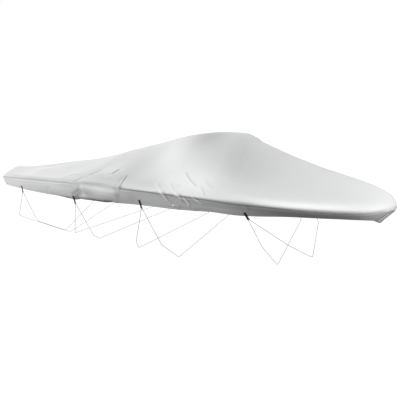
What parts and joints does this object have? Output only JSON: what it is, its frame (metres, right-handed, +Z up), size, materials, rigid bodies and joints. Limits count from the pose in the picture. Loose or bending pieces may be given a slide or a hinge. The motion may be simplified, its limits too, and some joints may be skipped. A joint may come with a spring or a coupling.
{
  "type": "fitted boat cover",
  "caption": "Fitted grey cover for a V-hull runabout, raised over its windscreen, with a tucked skirt, black webbing tabs on the hem and cords that tie under the hull",
  "frame": {"origin": "the point where the boat holds the cover up: just under the cloth, on the centreline, at the top of the hump over the windscreen", "axes": "+X runs forward from the transom to the bow, +Y to port, +Z up"},
  "size_m": [5.3996, 2.1581, 1.8109],
  "materials": {
    "cloth": "silver-grey polyester cloth with a coating, a soft sheen at a low angle and a fine weave",
    "patch": "the same cloth in a second layer, sewn on with dark thread",
    "webbing": "black polyester webbing, matt",
    "cord": "mid-grey twisted cord, matt"
  },
  "bodies": {
    "root": {"cover_cloth": "cloth", "bow_patch": "patch", "tab_starboard_1": "webbing", "tab_starboard_2": "webbing", "tab_starboard_3": "webbing", "tab_starboard_4": "webbing", "tab_port_1": "webbing", "tab_port_2": "webbing", "tab_port_3": "webbing", "tab_port_4": "webbing", "cord_1_aft": "cord", "cord_1_fore": "cord", "cord_2_aft": "cord", "cord_2_fore": "cord", "cord_3_aft": "cord", "cord_3_fore": "cord", "cord_4_aft": "cord", "cord_4_fore": "cord"}
  },
  "joints": []
}
